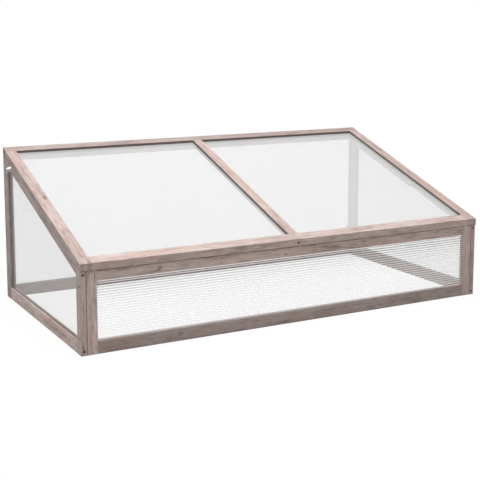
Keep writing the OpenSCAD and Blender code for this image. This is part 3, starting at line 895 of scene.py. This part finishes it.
@dataclass
class FlutedPane:
    """One twin-wall pane: two skins in one shell, with a web between each pair of flutes.

    In the pane's frame u runs along the flutes, v across them and w through the sheet.
    """

    node: str
    body: str
    grain: Grain
    look: Glazing
    sloping_top: bool = False
    pitch: float = 6.0 * MM
    web: float = 0.5 * MM
    skin: float = 0.5 * MM

    def build(self) -> bpy.types.Object:
        """Builds the shell and its webs in place of the CAD sheet.

        Returns:
            The pane.
        """
        turn = self.grain.matrix()
        low, high = extents(self.node, turn)
        thin = int(np.argmin(high - low))
        across = 3 - thin
        middles = self._middles(low[across], high[across])
        blocks = Blocks()
        blocks.gather(self._shell(low, high, across), turn)
        blocks.gather(self._webs(low, high, across, middles), turn)
        pane = blocks.piece(f"{self.node}_sheet", self.body)
        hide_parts(self.node)
        webs = Webs(across, float(middles[0]), float(high[across]), self.pitch)
        pane.data.materials.append(SHEET.material(self.node, self.grain, webs, self.look))
        pane.data.materials.append(SHEET.web_material(self.node, self.grain))
        slots = np.zeros(len(pane.data.polygons), dtype=np.int32)
        slots[BLOCK_SIDES:] = 1
        pane.data.polygons.foreach_set("material_index", slots)
        return pane

    def _middles(self, low: float, high: float) -> np.ndarray:
        """Spreads the webs over the pane.

        Web k, from 1 up, has its middle at v = v_low + edge + (k - 1/2) * pitch, where the edge
        is half of what all flutes but one leave of the width.

        Args:
            low: the pane's lower end in v.
            high: its upper end in v.

        Returns:
            The webs' middles in v.
        """
        flutes = int((high - low - self.web) / self.pitch)
        edge = (high - low - (flutes - 1) * self.pitch) / 2
        return low + edge + (np.arange(1, flutes) - 0.5) * self.pitch

    def _shell(self, low: np.ndarray, high: np.ndarray, across: int) -> np.ndarray:
        """Works out the shell.

        A sloping top is the line v = v_top - (u_top - u) * tan(slope), and the shell's v ends
        on it.

        Args:
            low: the pane's lowest corner.
            high: its highest corner.
            across: the axis of v.

        Returns:
            The shell's eight corners.
        """
        shell = Blocks.corners(low[None], high[None])
        if self.sloping_top:
            top = high[across] - (high[0] - shell[..., 0]) * math.tan(SLOPE)
            shell[..., across] = np.minimum(shell[..., across], top)
        return shell

    def _webs(
        self, low: np.ndarray, high: np.ndarray, across: int, middles: np.ndarray
    ) -> np.ndarray:
        """Works out the webs.

        A web is a thin block from skin to skin. Under a sloping top it starts where its own v
        meets the slope.

        Args:
            low: the pane's lowest corner.
            high: its highest corner.
            across: the axis of v.
            middles: the webs' middles in v.

        Returns:
            Eight corners for each web.
        """
        inset = np.full(3, self.skin)
        inset[0] = self.web
        web_low = np.repeat((low + inset)[None], len(middles), axis=0)
        web_high = np.repeat((high - inset)[None], len(middles), axis=0)
        web_low[:, across] = middles - self.web / 2
        web_high[:, across] = middles + self.web / 2
        webs = Blocks.corners(web_low, web_high)
        if self.sloping_top:
            start = high[0] - (high[across] - middles - self.web) / math.tan(SLOPE)
            webs[..., 0] = np.maximum(webs[..., 0], start[:, None])
        return webs


# ---------- sub-assemblies ----------


def butt_shade(axis: int, side: int) -> ShadeStrip:
    """Gives a thin line of painted shade in the crease where two battens lie side by side."""
    return ShadeStrip(axis, side, start=0.7 * MM, end=1.3 * MM, strength=0.60)


def reveal_shade(side: int) -> ShadeStrip:
    """Gives painted shade on the inner edge of a lid batten, in the recess over its pane."""
    return ShadeStrip(1, side, start=0.3 * MM, end=0.9 * MM, strength=0.85)


def groove_shade(side: int, axis: int = 1) -> ShadeStrip:
    """Gives a line of painted shade where a pane enters the groove in a batten's middle."""
    return ShadeStrip(axis, side, start=0.3 * MM, end=0.9 * MM, strength=0.85, middle=7.0 * MM)


def base() -> ShadeStrip:
    """Gives painted shade on the foot of a batten, where it meets the ground."""
    return ShadeStrip(2, 0, start=0.0, end=4.5 * MM, strength=0.40)


def shade_under_lid() -> ShadeStrip:
    """Gives a line of painted shadow that the lid casts on the front top rail."""
    return ShadeStrip(2, 1, start=5.6 * MM, end=8.0 * MM, strength=0.80)


@dataclass
class Battens:
    """A group of battens whose nodes share a way of the grain."""

    grain: Grain
    nodes: tuple[str, ...]
    seed: int
    knots: dict[str, Knots] = field(default_factory=dict)
    # Strips of painted shade, by node.
    shade_strips: dict[str, tuple[ShadeStrip, ...]] = field(default_factory=dict)
    # Colour scales, by node: partly each batten's own tone, partly painted light and shade.
    tones_and_painted_light: dict[str, float] = field(default_factory=dict)

    def dress(self) -> None:
        """Stains each batten, with its own run of grain, its strips of painted shade and its wash,
        which is partly painted light.
        """
        for seed, node in enumerate(self.nodes, self.seed):
            knots, shade_strips = self.knots.get(node, ()), self.shade_strips.get(node, ())
            tone_and_painted_light = self.tones_and_painted_light.get(node, 1.0)
            dress(node, TIMBER.material(node, self.grain, seed, knots, shade_strips, tone_and_painted_light))


@dataclass
class Framework:
    """Groups of battens, and the panes that they hold."""

    battens: tuple[Battens, ...]
    panes: tuple[FlutedPane, ...]

    def build(self) -> None:
        """Stains the battens, then glazes."""
        for group in self.battens:
            group.dress()
        for pane in self.panes:
            pane.build()


# Every pane has a painted glow; the far lines darken as painted shade towards the far edge.
SIDE_GLAZING = Glazing(skin=0.175, far=0.012)
# The front pane adds painted shade lines below its top, a painted highlight line and painted
# highlights in its flutes.
FRONT_GLAZING = Glazing(
    skin=0.12, near=0.36, far=0.060, veil=0.22, glow=0.05, flute_highlight=0.42, lip_highlight=0.5
)
BACK_GLAZING = Glazing(skin=0.09, far=0.02)
# The lid's strong glow is painted light that stands in for light through its panes.
LID_GLAZING = Glazing(skin=0.45, glow=0.28, tint=grey(0.47))


@dataclass
class SideFrames(Framework):
    """The two side frames: posts, rails and the panes that they hold."""

    battens: tuple[Battens, ...] = (
        Battens(
            Grain.UPRIGHT,
            ("left_front_post", "left_rear_post", "right_front_post", "right_rear_post"),
            seed=11,
            knots={"left_rear_post": ((-0.550, 0.259, 0.133, 0.0042),)},
            # Painted shade in the creases beside the front stiles and along the panes' grooves.
            shade_strips={
                "left_front_post": (butt_shade(2, 0), groove_shade(1)),
                "right_front_post": (butt_shade(2, 1), groove_shade(1)),
                "left_rear_post": (groove_shade(0),),
                "right_rear_post": (groove_shade(0),),
            },
            # Washes: partly the posts' own tone, partly painted light and shade.
            tones_and_painted_light={"left_rear_post": 0.87, "right_front_post": 0.88},
        ),
        Battens(
            Grain.DEPTH,
            ("left_bottom_rail", "right_bottom_rail"),
            seed=21,
            # Painted shade along the panes' grooves and at the feet on the ground.
            shade_strips={
                "left_bottom_rail": (groove_shade(1, 2), base()),
                "right_bottom_rail": (groove_shade(1, 2), base()),
            },
            # Wash: partly the rail's own tone, partly painted light.
            tones_and_painted_light={"left_bottom_rail": 1.35},
        ),
        Battens(
            Grain.SLOPING,
            ("left_slope_rail", "right_slope_rail"),
            seed=31,
            # Painted shade along the panes' grooves.
            shade_strips={"left_slope_rail": (groove_shade(0, 2),), "right_slope_rail": (groove_shade(0, 2),)},
        ),
    )
    panes: tuple[FlutedPane, ...] = tuple(
        FlutedPane(f"{side}_pane", "body", Grain.DEPTH, SIDE_GLAZING, sloping_top=True)
        for side in ("left", "right")
    )


@dataclass
class LongFrames(Framework):
    """The front frame and the back frame."""

    battens: tuple[Battens, ...] = (
        Battens(
            Grain.UPRIGHT,
            ("front_left_stile", "front_right_stile"),
            seed=41,
            # Painted shade in the creases beside the front posts and along the pane's groove.
            shade_strips={
                "front_left_stile": (butt_shade(2, 1), groove_shade(0, 2)),
                "front_right_stile": (butt_shade(2, 0), groove_shade(1, 2)),
            },
            # Washes: partly the stiles' own tone, partly painted light and shade.
            tones_and_painted_light={"front_left_stile": 1.32, "front_right_stile": 1.05},
        ),
        Battens(
            Grain.LENGTH,
            ("front_top_rail", "front_bottom_rail", "back_top_rail", "back_bottom_rail"),
            seed=51,
            knots={
                "front_top_rail": (
                    (-0.363, -0.288, 0.176, 0.0052),
                    (-0.035, -0.288, 0.170, 0.0036),
                ),
                "front_bottom_rail": ((-0.312, -0.288, 0.017, 0.0060),),
            },
            # Painted shadow under the lid, and painted shade at the foot on the ground.
            shade_strips={"front_top_rail": (shade_under_lid(),), "front_bottom_rail": (base(),)},
            # Washes: partly the rails' own tone, partly painted light and shade.
            tones_and_painted_light={"front_top_rail": 1.12, "front_bottom_rail": 0.73},
        ),
    )
    panes: tuple[FlutedPane, ...] = (
        FlutedPane("front_pane", "body", Grain.LENGTH, FRONT_GLAZING),
        FlutedPane("back_pane", "body", Grain.LENGTH, BACK_GLAZING),
    )


@dataclass
class Lid(Framework):
    """The lid: five battens and two panes."""

    battens: tuple[Battens, ...] = (
        Battens(
            Grain.LENGTH_ON_SLOPE,
            ("lid_front_rail", "lid_back_rail"),
            seed=61,
            # Painted shade in the recesses over the panes.
            shade_strips={"lid_front_rail": (reveal_shade(1),), "lid_back_rail": (reveal_shade(0),)},
            # Wash: partly the rail's own tone, partly painted light and shade.
            tones_and_painted_light={"lid_back_rail": 0.68},
        ),
        Battens(
            Grain.SLOPING,
            ("lid_left_rail", "lid_right_rail", "lid_mid_bar"),
            seed=71,
            knots={"lid_left_rail": ((-0.530, 0.005, 0.305, 0.0060),)},
            # Painted shade in the recesses over the panes.
            shade_strips={
                "lid_left_rail": (reveal_shade(0),),
                "lid_right_rail": (reveal_shade(1),),
                "lid_mid_bar": (reveal_shade(0), reveal_shade(1)),
            },
            # Washes: partly the rails' own tone, partly painted light and shade.
            tones_and_painted_light={"lid_left_rail": 0.94, "lid_right_rail": 0.87},
        ),
    )
    panes: tuple[FlutedPane, ...] = tuple(
        FlutedPane(f"lid_{side}_pane", "lid", Grain.LENGTH_ON_SLOPE, LID_GLAZING)
        for side in ("left", "right")
    )


@dataclass
class Fittings:
    """Screws, hinges, and the props with their bolts, washers and wing nuts."""

    timber_screws: tuple[str, ...] = (
        "side_frame_screws",
        "corner_screws",
        "front_rail_screws",
        "lid_screws",
    )
    hinge_screws: tuple[str, ...] = ("hinge_body_screws", "hinge_lid_screws")
    paired: tuple[str, ...] = (
        "hinge_body_leaf",
        "hinge_lid_leaf",
        "hinge_pin",
        "prop_bolt",
        "prop_washer",
        "wing_nut",
    )
    sticks: Battens = field(
        default_factory=lambda: Battens(Grain.SLOPING, ("left_prop", "right_prop"), seed=81)
    )

    def build(self) -> None:
        """Dresses the steel and stains the props."""
        dark_screws, zinc = DARK_SCREW_STEEL.material(), ZINC.material()
        # The timber screws take the dark steel, painted shade for their countersinks.
        for node in self.timber_screws:
            dress(node, dark_screws)
        for node in self.hinge_screws:
            dress(node, zinc)
        for side in ("left", "right"):
            for part in self.paired:
                dress(f"{side}_{part}", zinc)
        self.sticks.dress()


# ---------- studio ----------


@dataclass(frozen=True)
class Lamp:
    """A square lamp: where it hangs, the point it faces, its side in metres and its watts."""

    name: str
    place: Triple
    aim: Triple
    side: float
    power: float

    def hang(self) -> None:
        """Hangs the lamp."""
        data = bpy.data.lights.new(self.name, "AREA")
        data.size = self.side
        data.energy = self.power
        thing = bpy.data.objects.new(self.name, data)
        away = np.array(self.place) - np.array(self.aim)
        flat = math.hypot(away[0], away[1])
        thing.location = self.place
        thing.rotation_euler = (math.atan2(flat, away[2]), 0.0, math.atan2(away[0], -away[1]))
        bpy.context.scene.collection.objects.link(thing)


@dataclass
class Studio:
    """A pale floor, a white surround, soft lamps and the camera."""

    focal_px: float = 1025.819
    shift: float = -0.15
    place: Triple = (-1.271145, -2.338405, 0.713597)
    yaw: float = 0.4971
    pitch: float = 0.1391
    sensor_mm: float = 36.0

    floor_half: float = 12.0
    floor_seen: Colour = grey(0.90)
    floor_paper: tuple[Colour, Colour] = (grey(0.42), grey(0.38))
    floor_speck: Layer = Layer((40.0, 40.0, 40.0))
    speck_share: float = 0.05
    floor_roughness: float = 0.9
    near_share: float = 0.95
    reach: tuple[float, float] = (0.8, 1.5)

    ambient: float = 0.25
    lamps: tuple[Lamp, ...] = (
        Lamp("overhead", (-0.3, -0.3, 2.6), (0.0, 0.0, 0.0), side=2.6, power=92.0),
        Lamp("front_left", (-2.6, -2.4, 1.6), (0.0, 0.0, 0.15), side=1.8, power=4.0),
        Lamp("front_right", (2.4, -2.6, 1.2), (0.0, 0.0, 0.15), side=1.6, power=3.0),
    )

    def build(self) -> None:
        """Sets up all of it."""
        self._camera()
        self._floor()
        self._world()
        for lamp in self.lamps:
            lamp.hang()
        bpy.context.scene.view_settings.view_transform = "Standard"

    def _camera(self) -> None:
        """Places the camera as it was worked out from the photograph's outline."""
        data = bpy.data.cameras.new("camera")
        data.sensor_width = self.sensor_mm
        data.lens = self.focal_px / IMAGE_SIDE * self.sensor_mm
        data.shift_y = self.shift
        thing = bpy.data.objects.new("camera", data)
        thing.location = self.place
        thing.rotation_euler = (QUARTER - self.pitch, 0.0, -self.yaw)
        bpy.context.scene.collection.objects.link(thing)
        bpy.context.scene.camera = thing

    def _floor(self) -> None:
        """Lays the floor: white to the eye, less what the object's shadow takes near it."""
        half = self.floor_half
        corners = [(-half, -half, 0.0), (half, -half, 0.0), (half, half, 0.0), (-half, half, 0.0)]
        mesh = bpy.data.meshes.new("floor")
        mesh.from_pydata(corners, [], [(0, 1, 2, 3)])
        floor = bpy.data.objects.new("floor", mesh)
        bpy.context.scene.collection.objects.link(floor)
        graph = Finish("floor_paper")
        seen = graph.seen()
        place = graph.object_place()
        paper = graph.blend(self.floor_speck.on(graph, place) * self.speck_share, *self.floor_paper)
        graph.set(Base_Color=graph.blend(seen, paper, self.floor_seen))
        graph.set(Roughness=self.floor_roughness)
        glow = graph.add("ShaderNodeEmission", None, {"Color": WHITE, "Strength": 1.0})
        share = seen * graph.length(place).step(*self.reach, self.near_share, 1.0)
        shaders = {"Fac": share, 1: graph.bsdf, 2: Shade(graph, glow.outputs["Emission"])}
        mix = graph.add("ShaderNodeMixShader", None, shaders)
        graph.feed(graph.output.inputs["Surface"], Shade(graph, mix.outputs["Shader"]))
        mesh.materials.append(graph.material)

    def _world(self) -> None:
        """Makes the surround white to the eye and softer as a light."""
        world = bpy.data.worlds.new("surround")
        bpy.context.scene.world = world
        world.use_nodes = True
        graph = Graph(world.node_tree)
        strength = graph.seen() * (1.0 - self.ambient) + self.ambient
        back = graph.add("ShaderNodeBackground", None, {"Color": WHITE, "Strength": strength})
        light = Shade(graph, back.outputs["Background"])
        graph.add("ShaderNodeOutputWorld", None, {"Surface": light})


def main() -> None:
    """Builds the studio and dresses each sub-assembly in order."""
    logging.basicConfig(level=logging.INFO, format="%(name)s: %(message)s")
    for part in (Studio(), SideFrames(), LongFrames(), Lid(), Fittings()):
        LOG.info("building %s", type(part).__name__)
        part.build()


if __name__ == "__main__":
    main()
